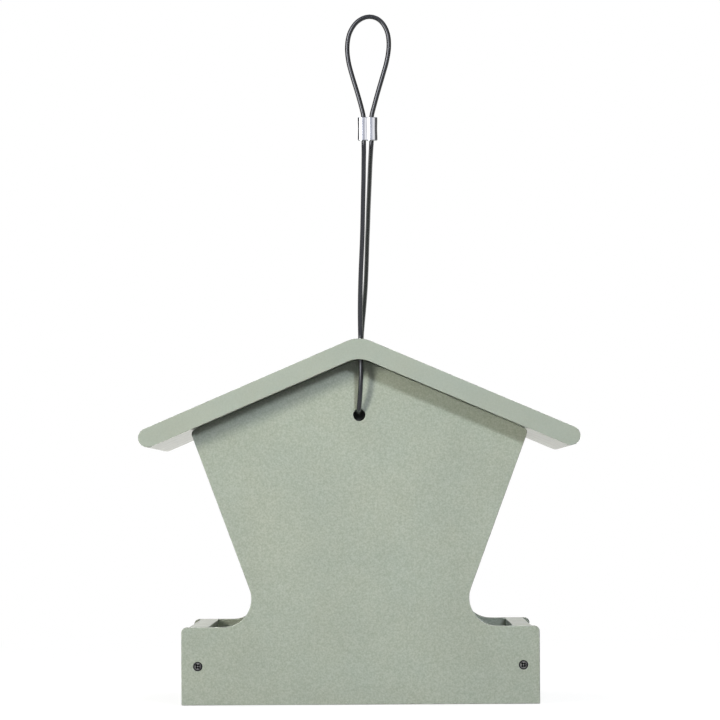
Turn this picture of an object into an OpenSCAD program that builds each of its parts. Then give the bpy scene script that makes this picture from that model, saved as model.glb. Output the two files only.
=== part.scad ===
// Hanging hopper bird feeder in recycled-plastic board: two house-shaped end panels, a tray between
// them, clear windows that lean outwards, and a bent roof that slides up its own hanging cable.
// X runs across the gable, Y along the ridge, Z up. The origin is under the middle of the feeder, on
// the plane it stands on. The front end is the one towards -Y.

/* [Boards] */
// Thickness of the board that the panels, the rails and the roof are cut from
board_t = 12.7; // [10:0.1:16]

/* [End panels] */
// Width of an end panel at the tray
tray_w = 239; // [225:1:280]
// Height of the tray
tray_h = 51.8; // [46:0.1:60]
// Width of an end panel at its waist, just above the tray
waist_w = 145.4; // [130:0.1:156]
// Radius of the fillet between the waist and the tray
waist_r = 19; // [10:0.5:22]
// Lean of the flared sides from upright, in degrees
side_lean = 20.3; // [16:0.1:23]
// Height at which the two top edges of a panel would meet
gable_h = 231; // [215:1:250]
// Radius of the tray corners and the shoulders
corner_r = 3.5; // [2:0.5:9]
// Clear length between the two end panels
hopper_l = 228.6; // [180:0.1:300]

/* [Roof] */
// Width of the roof over its two eaves
roof_span = 293; // [270:1:330]
// Pitch of the roof, in degrees
roof_pitch = 23.15; // [20:0.05:27]
// Length of roof past the outer face of each end panel
roof_overhang = 25.4; // [20:0.1:40]
// Radius on the outside of the ridge
ridge_out_r = 20; // [10:0.5:30]
// Radius on the inside of the ridge
ridge_in_r = 18; // [8:0.5:28]

/* [Tray] */
// Distance from the side of a panel to the outer face of a rail
rail_inset = 4.6; // [0:0.1:8]
// Thickness of the floor board
floor_t = 6.4; // [4:0.1:9]
// Height of the underside of the floor board
floor_h = 12.7; // [8:0.1:18]
// Depth of the groove that the floor board sits in
floor_groove = 5; // [3:0.1:6]
// Diameter of a drain hole
drain_d = 6.4; // [4:0.1:10]
// Drain holes across the floor
drain_across = 4; // [2:1:6]
// Drain holes along the floor
drain_along = 5; // [2:1:8]
// Distance from the first and last drain holes to the rails and panels
drain_margin = 22; // [12:1:40]

/* [Windows] */
// Thickness of a clear window
window_t = 2.4; // [1.5:0.1:3]
// Distance from the flared side of a panel in to the middle of the window
window_inset = 11; // [8:0.5:16]
// Depth of the groove that a window slides in
window_groove = 4; // [2.5:0.1:6]
// Height of the gap under a window, through which seed runs into the tray
seed_gap = 13; // [8:0.5:20]

/* [Screws] */
// Diameter of a screw's head
screw_head_d = 6.4; // [5:0.1:8]
// Diameter of a screw's shank
screw_d = 3.4; // [2.5:0.1:4]
// Length of a screw, with its head
screw_l = 38; // [25:1:50]
// Width of the recess in a screw's head, which is a cross set as an X
drive_w = 3.4; // [2.4:0.1:3.6]
// Width of one arm of the cross recess
drive_arm = 0.9; // [0.6:0.1:1.1]
// Depth of the cross recess
drive_depth = 1; // [0.6:0.1:1.2]

/* [Hanging cable] */
// Diameter of the coated cable
cable_d = 3.2; // [2.4:0.1:3.6]
// Diameter of the holes that the cable runs through
cable_hole_d = 8; // [7:0.1:10]
// Height of the cable hole in an end panel
cable_hole_h = 193; // [186:0.5:197]
// Distance from the outer face of a panel to the cable hole in the roof
cable_off = 11; // [9.5:0.1:13]
// Diameter of the stop on the end of the cable
stop_d = 6.8; // [6:0.1:8]
// Length of the stop
stop_l = 9; // [6:0.5:12]
// Diameter of the washer under the stop
washer_d = 16; // [13:0.5:20]
// Thickness of the washer
washer_t = 1.5; // [1:0.1:2.5]
// Width of the crimped ferrule across the two strands
ferrule_w = 13.7; // [12:0.1:15]
// Thickness of the ferrule from front to back
ferrule_t = 5.4; // [5:0.1:6.5]
// Height of the ferrule
ferrule_h = 16.4; // [12:0.1:16.6]

/* [Fits] */
// Clearance on each face of a board or window in its groove
groove_gap = 0.3; // [0.1:0.05:0.5]
// Clearance between the roof and the top edges of the panels
roof_gap = 0.2; // [0.1:0.05:0.5]
// Clearance round a screw or a cable in its own fitting
hole_gap = 0.1; // [0.05:0.05:0.2]

/* [Hidden] */
$fn = 96;

board_colour = [0.66, 0.69, 0.64];
window_colour = [0.85, 0.92, 0.95, 0.4];
cable_colour = [0.16, 0.17, 0.17];
aluminium_colour = [0.80, 0.81, 0.84];
rubber_colour = [0.12, 0.12, 0.12];
screw_colour = [0.20, 0.20, 0.21];

eps = 0.01;
far = 1000;
// An arc reaches this far past the straight edges that it rounds, so that they cross cleanly
arc_reach = 0.002;

// Panels stand between inner_y and outer_y at each end
inner_y = hopper_l / 2;
outer_y = inner_y + board_t;

// The flared side of a panel leaves the waist fillet at this point
waist_centre = [waist_w / 2 + waist_r, tray_h + waist_r];
flare = waist_centre + waist_r * [-cos(side_lean), sin(side_lean)];

// Roof: height of the sharp ridge outside and inside, and the centre of an eave's round edge
ridge_in_h = gable_h + roof_gap / cos(roof_pitch);
ridge_out_h = ridge_in_h + board_t / cos(roof_pitch);
eave = [roof_span / 2 - board_t / 2,
        ridge_in_h + board_t / 2 / cos(roof_pitch) - (roof_span - board_t) / 2 * tan(roof_pitch)];
roof_l = 2 * (outer_y + roof_overhang);

// Rails stand between rail_in and rail_out on each side
rail_out = tray_w / 2 - rail_inset;
rail_in = rail_out - board_t;
screw_x = (rail_in + rail_out) / 2;
screw_z = tray_h / 2;
floor_top = floor_h + floor_t;
screw_head_h = (screw_head_d - screw_d) / 2;
screw_tip_l = screw_d;

// A window runs up its groove from window_low to window_top, measured from the flare point along
// the flared side
window_low = (floor_top + seed_gap - flare[1] - (window_inset + window_t / 2) * sin(side_lean))
    / cos(side_lean);
window_top = (gable_h - flare[1] - window_inset * sin(side_lean)
    - (flare[0] - window_inset * cos(side_lean)) * tan(roof_pitch))
    / (cos(side_lean) + sin(side_lean) * tan(roof_pitch)) - window_t;

// The cable bears on the upper side of its hole in a panel
cable_play = 0.4;
cable_z = cable_hole_h + (cable_hole_d - cable_d) / 2 - cable_play;
roof_hole_y = outer_y + cable_off;

// Routes of the cable, as points along its middle. The loop lies in the plane of the ferrule.
loop_xz = [[3.6, 393], [3.6, 401], [1.6, 410], [-1.2, 420], [-4.2, 430], [-6.7, 440], [-7.5, 450],
           [-6, 459], [-2, 466], [3, 469.8], [8, 471], [13, 469.8], [17.4, 466], [20.6, 459],
           [21.3, 450], [19.8, 440], [17, 430], [14, 420], [11.2, 410], [9, 401], [9, 393]];
// Both strands run down from the ferrule and out to the ends of the ridge
strand_yz = [[0, 393], [0, 385], [1, 380.5], [4, 376.4], [12, 368.6], [22, 358.9], [32, 349.2],
             [42, 339.5], [52, 329.8], [62, 320.1], [72, 310.4], [82, 300.7], [92, 291],
             [102, 281.3], [112, 271.6], [122, 261.9], [132, 252.2], [135.8, 248], [138, 243],
             [138, 238]];
front_strand_x = [3.6, 3.6, 3.6, 3.6, 3.5, 3.4, 3.2, 3, 2.8, 2.6, 2.3, 1.9, 1.5, 1.2, 1, 0.9, 1,
                  1.1, 1.2, 1.2];
rear_strand_x = [9, 9, 8.7, 8.4, 7.9, 7.4, 6.9, 6.4, 6, 5.5, 5.1, 4.7, 4.2, 3.5, 2.6, 1.6,
                 0.8, 0.9, 1.2, 1.2];
// Under the roof the cable leans in to the panel, turns and runs through it to its stop
drop_xyz = [[1.2, 138, 238], [1.2, 138, 230], [1.4, 137.9, 223], [1.3, 137.3, 217], [1, 136.3, 211],
            [0.6, 135, 205.5], [0.2, 133.5, 201], [-0.1, 131.3, 197.4], [-0.1, 128, 195.2],
            [0, 122, 195], [0, 113, 195], [0, 104, 195]];
cable_sides = 8;

function unit(v) = v / norm(v);

// Direction of a route at its point i
function heading(route, i) =
    unit(route[min(i + 1, len(route) - 1)] - route[max(i - 1, 0)]);

// Corners of the tube round point i, laid out from a direction that the route never takes
function ring(route, i, across) =
    let (u = unit(cross(heading(route, i), across)), v = cross(heading(route, i), u))
    [for (k = [0 : cable_sides - 1])
        route[i] + cable_d / 2 * (cos(360 * k / cable_sides) * u + sin(360 * k / cable_sides) * v)];

module cable(route, across) {
    last = (len(route) - 1) * cable_sides;
    color(cable_colour)
        polyhedron(
            points = [for (i = [0 : len(route) - 1]) each ring(route, i, across)],
            faces = [
                [for (k = [cable_sides - 1 : -1 : 0]) k],
                [for (k = [0 : cable_sides - 1]) last + k],
                for (i = [0 : len(route) - 2], k = [0 : cable_sides - 1])
                    let (a = i * cable_sides + k, b = i * cable_sides + (k + 1) % cable_sides)
                    each [[a, b, b + cable_sides], [a, b + cable_sides, a + cable_sides]]
            ]);
}

// What is cut off a corner of an outline, between its neighbours, to round it to radius r
module corner_waste(corner, before, after, r) {
    a = unit(before - corner);
    b = unit(after - corner);
    half = acos(a * b) / 2;
    run = r / tan(half);
    centre = corner + unit(a + b) * r / sin(half);
    // The waste stands this share of the radius outside the outline
    clear = 1.2;
    difference() {
        polygon([centre, centre + clear * (corner + run * a - centre),
                 centre + clear * (corner - centre), centre + clear * (corner + run * b - centre)]);
        translate(centre) circle(r + arc_reach);
    }
}

// Everything under a pair of slopes that would meet at height h, with the ridge rounded to radius r
module under_gable(h, r) {
    right = [far, h - far * tan(roof_pitch)];
    left = [-far, right[1]];
    difference() {
        polygon([left, [0, h], right, [far, -far], [-far, -far]]);
        corner_waste([0, h], left, right, r);
    }
}

// Lays out a drawing of X and Z from the point where the right flared side leaves the waist, with
// its second axis up that side
module along_flare() {
    translate(flare) rotate(-side_lean) children();
}

// Outline of an end panel, with its tray corners, waist fillets, shoulders and gable rounded
module panel_outline() {
    shoulder_l = (gable_h - flare[1] - flare[0] * tan(roof_pitch))
        / (cos(side_lean) + sin(side_lean) * tan(roof_pitch));
    shoulder = flare + shoulder_l * [sin(side_lean), cos(side_lean)];
    right = [[tray_w / 2, 0], [tray_w / 2, tray_h], [waist_centre[0], tray_h], waist_centre, flare,
             shoulder];
    left = [for (i = [len(right) - 1 : -1 : 0]) [-right[i][0], right[i][1]]];
    gable = [0, gable_h];
    difference() {
        polygon([each right, gable, each left]);
        corner_waste(gable, left[0], shoulder, ridge_in_r - roof_gap);
        for (side = [0, 1])
            mirror([side, 0]) {
                corner_waste(right[1], right[0], right[2], corner_r);
                corner_waste(shoulder, flare, gable, corner_r);
                translate(waist_centre) circle(waist_r + arc_reach);
            }
    }
}

// The front panel: cable hole, screw holes, and stopped grooves inside for the floor and windows
module end_panel() {
    difference() {
        translate([0, -inner_y, 0]) rotate([90, 0, 0]) linear_extrude(board_t) panel_outline();
        translate([0, -inner_y + eps, cable_hole_h])
            rotate([90, 0, 0]) cylinder(d = cable_hole_d, h = board_t + 2 * eps);
        for (side = [-1, 1])
            translate([side * screw_x, -outer_y, screw_z]) screw_bore();
        translate([-rail_in - floor_groove, -inner_y - floor_groove, floor_h])
            cube([2 * (rail_in + floor_groove), floor_groove + eps, floor_t + groove_gap]);
        for (side = [0, 1])
            mirror([side, 0, 0])
                translate([0, -inner_y + eps, 0])
                    rotate([90, 0, 0])
                        linear_extrude(window_groove + eps)
                            along_flare()
                                translate([-window_inset - window_t / 2 - groove_gap, window_low])
                                    square([window_t + 2 * groove_gap, far]);
    }
}

// Hole that a rail screw fills, from the outer face of a panel towards +Y
module screw_bore() {
    rotate([-90, 0, 0])
        rotate_extrude()
            polygon([[0, -eps], [screw_head_d / 2 + hole_gap + eps, -eps],
                     [screw_d / 2 + hole_gap, screw_head_h],
                     [screw_d / 2 + hole_gap, screw_l + hole_gap], [0, screw_l + hole_gap]]);
}

module screw() {
    rotate([-90, 0, 0])
        difference() {
            rotate_extrude()
                polygon([[0, 0], [screw_head_d / 2, 0], [screw_d / 2, screw_head_h],
                         [screw_d / 2, screw_l - screw_tip_l], [0, screw_l]]);
            for (turn = [45, 135])
                rotate(turn)
                    translate([-drive_w / 2, -drive_arm / 2, -eps])
                        cube([drive_w, drive_arm, drive_depth]);
        }
}

module rail_screws() {
    color(screw_colour)
        for (side = [-1, 1])
            translate([side * screw_x, -outer_y, screw_z]) screw();
}

// The right rail, grooved inside for the floor and drilled at each end for its screws
module tray_rail() {
    color(board_colour)
        difference() {
            translate([rail_in, -inner_y, 0]) cube([board_t, hopper_l, tray_h]);
            translate([rail_in - eps, -inner_y - eps, floor_h])
                cube([floor_groove + eps, hopper_l + 2 * eps, floor_t + groove_gap]);
            for (end = [0, 1])
                mirror([0, end, 0]) translate([screw_x, -outer_y, screw_z]) screw_bore();
        }
}

module drilled_floor() {
    half_x = rail_in + floor_groove - groove_gap;
    half_y = inner_y + floor_groove - groove_gap;
    drain_x = 2 * (rail_in - drain_margin) / (drain_across - 1);
    drain_y = 2 * (inner_y - drain_margin) / (drain_along - 1);
    color(board_colour)
        difference() {
            translate([-half_x, -half_y, floor_h]) cube([2 * half_x, 2 * half_y, floor_t]);
            for (i = [0 : drain_across - 1], j = [0 : drain_along - 1])
                translate([drain_margin - rail_in + i * drain_x, drain_margin - inner_y + j * drain_y,
                           floor_h - eps])
                    cylinder(d = drain_d, h = floor_t + 2 * eps);
        }
}

// The right window, between the bottoms of its two grooves
module window() {
    half_y = inner_y + window_groove - groove_gap;
    color(window_colour)
        translate([0, half_y, 0])
            rotate([90, 0, 0])
                linear_extrude(2 * half_y)
                    along_flare()
                        translate([-window_inset - window_t / 2, window_low])
                            square([window_t, window_top - window_low]);
}

// What is cut off the end of the right slope to leave its edge round
module eave_waste() {
    translate(eave)
        rotate(-roof_pitch)
            difference() {
                translate([0, -board_t]) square([far, 2 * board_t]);
                circle(board_t / 2 + arc_reach);
            }
}

// One bent board: rounded ridge, round eaves, and a cable hole at each end of the ridge
module bent_roof() {
    color(board_colour)
        difference() {
            translate([0, roof_l / 2, 0])
                rotate([90, 0, 0])
                    linear_extrude(roof_l)
                        difference() {
                            under_gable(ridge_out_h, ridge_out_r);
                            under_gable(ridge_in_h, ridge_in_r);
                            eave_waste();
                            mirror([1, 0]) eave_waste();
                        }
            for (side = [-1, 1])
                translate([0, side * roof_hole_y, 0]) cylinder(d = cable_hole_d, h = far);
        }
}

// Black rubber washer that takes the pull of the cable's stop against the inside of the panel
module cable_washer() {
    color(rubber_colour)
        translate([0, -inner_y, cable_z])
            rotate([-90, 0, 0])
                difference() {
                    cylinder(d = washer_d, h = washer_t);
                    translate([0, 0, -eps])
                        cylinder(d = cable_d + 2 * hole_gap, h = washer_t + 2 * eps);
                }
}

// Crimped tube with a band at each end that stands proud of its waist
module cable_stop() {
    band_l = stop_l / 4;
    band_step = 0.5;
    color(aluminium_colour)
        translate([0, -inner_y + washer_t, cable_z])
            rotate([-90, 0, 0])
                rotate_extrude()
                    difference() {
                        union() {
                            square([stop_d / 2 - band_step, stop_l]);
                            square([stop_d / 2, band_l]);
                            translate([0, stop_l - band_l]) square([stop_d / 2, band_l]);
                        }
                        translate([0, -eps]) square([cable_d / 2 + hole_gap, stop_l + 2 * eps]);
                    }
}

// Section of one barrel of the ferrule, which the crimping jaws have pressed flatter in front and
// behind. The barrel reaches half_w to each side of its strand.
module pressed_barrel(half_w) {
    face_r = 6.5;
    intersection() {
        translate([0, face_r - ferrule_t / 2]) circle(face_r);
        translate([0, ferrule_t / 2 - face_r]) circle(face_r);
        circle(half_w);
    }
}

// Crimped sleeve with a barrel for each strand and a shallow valley between them
module double_ferrule() {
    strands = [loop_xz[0], loop_xz[len(loop_xz) - 1]];
    half_w = (ferrule_w - norm(strands[1] - strands[0])) / 2;
    color(aluminium_colour)
        translate([0, 0, strands[0][1] - ferrule_h / 2])
            linear_extrude(ferrule_h)
                difference() {
                    for (p = strands) translate([p[0], 0]) pressed_barrel(half_w);
                    for (p = strands) translate([p[0], 0]) circle(d = cable_d + 2 * hole_gap);
                }
}

module at_rear() {
    mirror([0, 1, 0]) children();
}

module front_end_panel() { color(board_colour) end_panel(); }
module rear_end_panel() { at_rear() front_end_panel(); }
module right_tray_rail() { tray_rail(); }
module left_tray_rail() { mirror([1, 0, 0]) tray_rail(); }
module right_window() { window(); }
module left_window() { mirror([1, 0, 0]) window(); }
module cable_loop() { cable([for (p = loop_xz) [p[0], 0, p[1]]], [0, 1, 0]); }

// Strands and drops of the front end run towards -Y, those of the rear end towards +Y
module cable_strand(xs, way) {
    cable([for (i = [0 : len(strand_yz) - 1]) [xs[i], way * strand_yz[i][0], strand_yz[i][1]]],
          [1, 0, 0]);
}

module cable_drop(way) {
    cable([for (p = drop_xyz) [p[0], way * p[1], p[2]]], [1, 0, 0]);
}

front_end_panel();
rear_end_panel();
bent_roof();  // roof
left_tray_rail();
right_tray_rail();
drilled_floor();  // tray_floor
left_window();
right_window();
rail_screws();  // front_rail_screws
at_rear() rail_screws();  // rear_rail_screws
cable_washer();  // front_cable_washer
at_rear() cable_washer();  // rear_cable_washer
cable_stop();  // front_cable_stop
at_rear() cable_stop();  // rear_cable_stop
double_ferrule();  // ferrule
cable_loop();
cable_strand(front_strand_x, -1);  // front_cable_strand
cable_strand(rear_strand_x, 1);  // rear_cable_strand
cable_drop(-1);  // front_cable_drop
cable_drop(1);  // rear_cable_drop
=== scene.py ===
# %% [markdown]
# # A hanging bird feeder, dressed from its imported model
#
# The feeder is two house-shaped end panels, a tray between them, two clear windows and a bent roof
# that slides up its own cable. All of it is half-inch plastic board in a sage green. The packed
# model brings the exact sizes. This script keeps every piece where the model has it, gives the
# boards their eased edges, makes the cable and the small metal pieces in full, and then finishes,
# lights and frames the whole. Everything is in metres, with Z up and the ridge along Y.

import math

import bmesh
import bpy
from mathutils import Matrix, Vector
from mathutils.geometry import interpolate_bezier


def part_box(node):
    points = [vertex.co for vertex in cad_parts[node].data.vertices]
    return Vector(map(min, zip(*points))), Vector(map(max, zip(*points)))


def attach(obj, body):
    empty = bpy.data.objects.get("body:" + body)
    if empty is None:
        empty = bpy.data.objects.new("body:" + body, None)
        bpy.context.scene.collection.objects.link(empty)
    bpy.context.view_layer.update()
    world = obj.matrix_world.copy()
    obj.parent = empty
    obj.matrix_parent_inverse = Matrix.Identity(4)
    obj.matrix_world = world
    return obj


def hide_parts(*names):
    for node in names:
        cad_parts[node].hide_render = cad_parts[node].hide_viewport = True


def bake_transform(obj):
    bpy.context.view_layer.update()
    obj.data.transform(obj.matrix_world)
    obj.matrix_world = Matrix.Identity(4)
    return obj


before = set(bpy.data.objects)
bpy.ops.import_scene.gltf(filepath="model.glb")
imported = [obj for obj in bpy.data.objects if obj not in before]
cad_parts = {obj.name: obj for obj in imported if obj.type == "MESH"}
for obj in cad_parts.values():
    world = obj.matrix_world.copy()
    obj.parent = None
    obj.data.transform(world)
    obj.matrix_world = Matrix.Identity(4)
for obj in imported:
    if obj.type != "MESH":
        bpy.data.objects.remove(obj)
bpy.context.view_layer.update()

# %% [markdown]
# ## The camera
#
# The feeder is seen square on to its front panel, from about three and a half metres, through a
# long lens. The camera stands a little under half the feeder's height and looks very slightly up,
# so the undersides of the eaves and the tops of the tray rails both show as thin slivers. The
# picture is square, so the sensor width belongs to either side.

# %% Camera
EYE = Vector((0.0152, -3.5757, 0.1374))
TURN = math.radians(0.241)
TILT = math.radians(1.532)
ROLL = math.radians(-0.315)
LENS = 258.5
SENSOR_WIDTH = 36
VIEW_DEPTH = 50

camera_data = bpy.data.cameras.new("camera")
camera_data.sensor_width = SENSOR_WIDTH
camera_data.lens = LENS
camera_data.clip_end = VIEW_DEPTH
camera = bpy.data.objects.new("camera", camera_data)
bpy.context.scene.collection.objects.link(camera)
camera.matrix_world = (
    Matrix.Translation(EYE)
    @ Matrix.Rotation(TURN, 4, "Z")
    @ Matrix.Rotation(math.pi / 2 + TILT, 4, "X")
    @ Matrix.Rotation(ROLL, 4, "Z")
)
bpy.context.scene.camera = camera
print("camera", [round(x, 4) for x in EYE], "lens", LENS)

# %% [markdown]
# ## The hanging cable
#
# One length of vinyl-coated steel cable carries the feeder. It starts at a stop inside the front
# panel, comes out through a hole, turns up through the roof, runs to a crimped ferrule, makes a
# loop for the hook and goes down the same way at the rear. It is kept as five pieces, because the
# part over the roof and the part under it stretch or shorten when the roof slides up.
#
# The routes are the ones that the model was built on. The front of the feeder faces -Y, so a route
# that is given for one end is laid at either end by the sign of its Y.

# %% Routes of the cable
CABLE_D = 0.0032
ROOF_HOLE_Y = 0.138
LOOP_XZ = [
    (0.0036, 0.393), (0.0036, 0.401), (0.0016, 0.410), (-0.0012, 0.420), (-0.0042, 0.430),
    (-0.0067, 0.440), (-0.0075, 0.450), (-0.006, 0.459), (-0.002, 0.466), (0.003, 0.4698),
    (0.008, 0.471), (0.013, 0.4698), (0.0174, 0.466), (0.0206, 0.459), (0.0213, 0.450),
    (0.0198, 0.440), (0.017, 0.430), (0.014, 0.420), (0.0112, 0.410), (0.009, 0.401),
    (0.009, 0.393),
]
STRAND_YZ = [
    (0, 0.393), (0, 0.385), (0.001, 0.3805), (0.004, 0.3764), (0.012, 0.3686), (0.022, 0.3589),
    (0.032, 0.3492), (0.042, 0.3395), (0.052, 0.3298), (0.062, 0.3201), (0.072, 0.3104),
    (0.082, 0.3007), (0.092, 0.291), (0.102, 0.2813), (0.112, 0.2716), (0.122, 0.2619),
    (0.132, 0.2522), (0.1358, 0.248), (0.138, 0.243), (0.138, 0.238),
]
FRONT_STRAND_X = [
    0.0036, 0.0036, 0.0036, 0.0036, 0.0035, 0.0034, 0.0032, 0.003, 0.0028, 0.0026,
    0.0023, 0.0019, 0.0015, 0.0012, 0.001, 0.0009, 0.001, 0.0011, 0.0012, 0.0012,
]
REAR_STRAND_X = [
    0.009, 0.009, 0.0087, 0.0084, 0.0079, 0.0074, 0.0069, 0.0064, 0.006, 0.0055,
    0.0051, 0.0047, 0.0042, 0.0035, 0.0026, 0.0016, 0.0008, 0.0009, 0.0012, 0.0012,
]
DROP_XYZ = [
    (0.0012, 0.138, 0.238), (0.0012, 0.138, 0.230), (0.0014, 0.1379, 0.223),
    (0.0013, 0.1373, 0.217), (0.001, 0.1363, 0.211), (0.0006, 0.135, 0.2055),
    (0.0002, 0.1335, 0.201), (-0.0001, 0.1313, 0.1974), (-0.0001, 0.128, 0.1952),
    (0, 0.122, 0.195), (0, 0.113, 0.195), (0, 0.104, 0.195),
]
print("route points:", len(LOOP_XZ), len(STRAND_YZ), len(DROP_XYZ))

# %% [markdown]
# A cable has no kinks, so a smooth line goes through the points of a route. Between two points the
# line is a Bezier curve. At each point it heads along the chord of the point's two neighbours,
# which makes one curve run into the next without a corner.

# %% Helpers for smooth lines
CABLE_STEP = 0.0022


def smooth_line(route):
    """Points about CABLE_STEP apart on a smooth line through the route's points."""
    points = [Vector(p) for p in route]
    line = [points[0]]
    for i in range(len(points) - 1):
        here, after = points[i], points[i + 1]
        before = points[max(i - 1, 0)]
        beyond = points[min(i + 2, len(points) - 1)]
        reach = (after - here).length / 3
        leave = (after - before).normalized() * reach
        arrive = (beyond - here).normalized() * reach
        count = max(2, round((after - here).length / CABLE_STEP) + 1)
        line += interpolate_bezier(here, here + leave, after - arrive, after, count)[1:]
    return line


def line_length(line):
    return sum((b - a).length for a, b in zip(line, line[1:]))


# %% [markdown]
# The cable itself is a sweep. One ring of vertices is extruded from point to point, and each copy
# is turned by the smallest turn that points it along the line, so the tube doesn't twist. Each
# vertex also keeps its place on the straightened cable, so that the finish can follow the cable
# round its bends.

# %% Helpers that sweep a cable
CABLE_SIDES = 20


def link_mesh(bm, name):
    """Turns a bmesh into an object of that name, at the origin."""
    mesh = bpy.data.meshes.new(name)
    bm.to_mesh(mesh)
    bm.free()
    piece = bpy.data.objects.new(name, mesh)
    bpy.context.scene.collection.objects.link(piece)
    return piece


def ring_place(point, turn):
    return Matrix.Translation(point) @ turn.to_matrix().to_4x4()


def sweep_cable(name, line):
    """A round tube along the line, made by extruding one ring from point to point."""
    bm = bmesh.new()
    straight = bm.verts.layers.float_vector.new("straight_cable")
    ring = bmesh.ops.create_circle(
        bm, cap_ends=True, segments=CABLE_SIDES, radius=CABLE_D / 2
    )["verts"]
    for v in ring:
        v[straight] = v.co
    heading = (line[1] - line[0]).normalized()
    turn = heading.to_track_quat("Z", "Y")
    place = ring_place(line[0], turn)
    bmesh.ops.transform(bm, matrix=place, verts=ring)
    edges = list({e for v in ring for e in v.link_edges})
    gone = 0
    for i in range(1, len(line)):
        grown = bmesh.ops.extrude_edge_only(bm, edges=edges)["geom"]
        ring = [g for g in grown if isinstance(g, bmesh.types.BMVert)]
        edges = [
            g for g in grown
            if isinstance(g, bmesh.types.BMEdge) and g.verts[0] in ring and g.verts[1] in ring
        ]
        ahead = (line[min(i + 1, len(line) - 1)] - line[i - 1]).normalized()
        turn = heading.rotation_difference(ahead) @ turn
        heading = ahead
        gone += (line[i] - line[i - 1]).length
        new_place = ring_place(line[i], turn)
        bmesh.ops.transform(bm, matrix=new_place @ place.inverted(), verts=ring)
        place = new_place
        for v in ring:
            v[straight].z = gone
    bmesh.ops.edgeloop_fill(bm, edges=edges)
    bmesh.ops.recalc_face_normals(bm, faces=bm.faces)
    for face in bm.faces:
        face.smooth = len(face.verts) == 4
    return link_mesh(bm, name)


# %% [markdown]
# The loop goes on the hanger's body, with the ferrule. Each strand is held by the ferrule at its
# top and by the roof at its foot, and each drop by the roof at its top and by the panel at its
# foot.
# Those four are left as plain meshes, on no body.

cable_pieces = []


def cable_piece(name, node, route):
    line = smooth_line(route)
    piece = sweep_cable(name, line)
    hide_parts(node)
    cable_pieces.append(piece)
    print(name, "is", round(line_length(line) * 1000, 1), "mm long")
    return piece


loop = cable_piece("hanging_loop", "cable_loop", [(x, 0, z) for x, z in LOOP_XZ])
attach(loop, "hanger")

for end, way, xs in (("front", -1, FRONT_STRAND_X), ("rear", 1, REAR_STRAND_X)):
    over = [(x, way * y, z) for x, (y, z) in zip(xs, STRAND_YZ)]
    strand = cable_piece(end + "_strand", end + "_cable_strand", over)
    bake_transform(strand)
    under = [(x, way * y, z) for x, y, z in DROP_XYZ]
    drop = cable_piece(end + "_drop", end + "_cable_drop", under)
    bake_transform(drop)

# %% [markdown]
# ## The boards
#
# Every board is cut from one sheet, and its edges are eased with a small round-over so that they
# don't cut a hand. The model's boards are sharp and made of loose triangles. A copy of each is
# merged and its flat faces are joined again, and then the bevel operator rounds the edges. The
# outline gets the full round-over, and holes and grooves a finer one. Two marks are kept on the
# faces for the finish: which faces are saw cuts and not sheet, and which belong to a round-over.

# %% Helpers for edges
SHARP = math.radians(30)
FLAT = math.radians(0.4)
MERGE = 1e-6
TOUCH = 1e-5


def merged_copy(node):
    """A copy of a CAD node with its triangles merged and its flat faces joined."""
    bm = bmesh.new()
    bm.from_mesh(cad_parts[node].data)
    bmesh.ops.remove_doubles(bm, verts=bm.verts, dist=MERGE)
    bmesh.ops.dissolve_limit(bm, angle_limit=FLAT, verts=bm.verts, edges=bm.edges)
    return bm


def corner_edges(bm):
    """Edges where the surface turns outwards sharply."""
    return [
        e for e in bm.edges
        if e.is_manifold and e.is_convex and e.calc_face_angle() > SHARP
    ]


def ease_edges(bm, edges, width, segments, mark):
    """Rounds the edges over and marks the new faces."""
    made = bmesh.ops.bevel(
        bm, geom=edges, offset=width, offset_type="OFFSET", segments=segments,
        profile=0.5, affect="EDGES", clamp_overlap=True, material=-1,
    )
    for face in made["faces"]:
        face[mark] = 1.0


# %% [markdown]
# A round-over is only a few tenths of a millimetre wide, so it must not bend the shading of the
# broad faces beside it. The Weighted Normal modifier sees to that, because it lets the largest face
# at each corner decide. The same helper puts a rigid piece on its body. A face counts as sawn where
# it doesn't point along the axis that the sheet's own faces point along.

# %% Helpers for rigid pieces
EASE = 0.0006
LIP_EASE = 0.0006
FINE_EASE = 0.0002
LARGE_FACES_LEAD = 100
SAWN_BELOW = 0.5


def finish_piece(piece, body, slot, *nodes):
    """Evens the shading of a rigid piece and puts it on its body."""
    even = piece.modifiers.new("even shading", "WEIGHTED_NORMAL")
    even.weight = LARGE_FACES_LEAD
    for polygon in piece.data.polygons:
        polygon.use_smooth = True
    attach(piece, body)
    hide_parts(*nodes)


def eased_board(name, node, body, outer, sheet_axis, width, lip):
    """A board with its outline eased to that width, the lip of its cable hole to LIP_EASE, and
    its other holes and grooves finely."""
    bm = merged_copy(node)
    eased = bm.faces.layers.float.new("eased")
    sawn = bm.faces.layers.float.new("sawn")
    for face in bm.faces:
        face.normal_update()
        face[sawn] = float(abs(face.normal[sheet_axis]) < SAWN_BELOW)
    corners = corner_edges(bm)
    rim = {e for e in corners if outer(e)}
    lips = {e for e in corners if lip and lip(e)}
    others = [e for e in corners if e not in rim and e not in lips]
    for edges, ease, segments in ((others, FINE_EASE, 2), (lips, LIP_EASE, 3), (rim, width, 3)):
        ease_edges(bm, [e for e in edges if e.is_valid], ease, segments, eased)
    piece = link_mesh(bm, name)
    finish_piece(piece, body, "sage_board", node)
    print(name, "faces", len(piece.data.polygons), "eased edges", len(rim), len(lips), len(others))
    return piece


# %% [markdown]
# Each kind of board says which of its edges make the outline. On a panel those are the edges whose
# side face runs through the whole thickness, away from the cable hole, and the hole has a lip of
# its own on the outer face. On the roof they are all the edges that lie clear of the cable holes.

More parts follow.
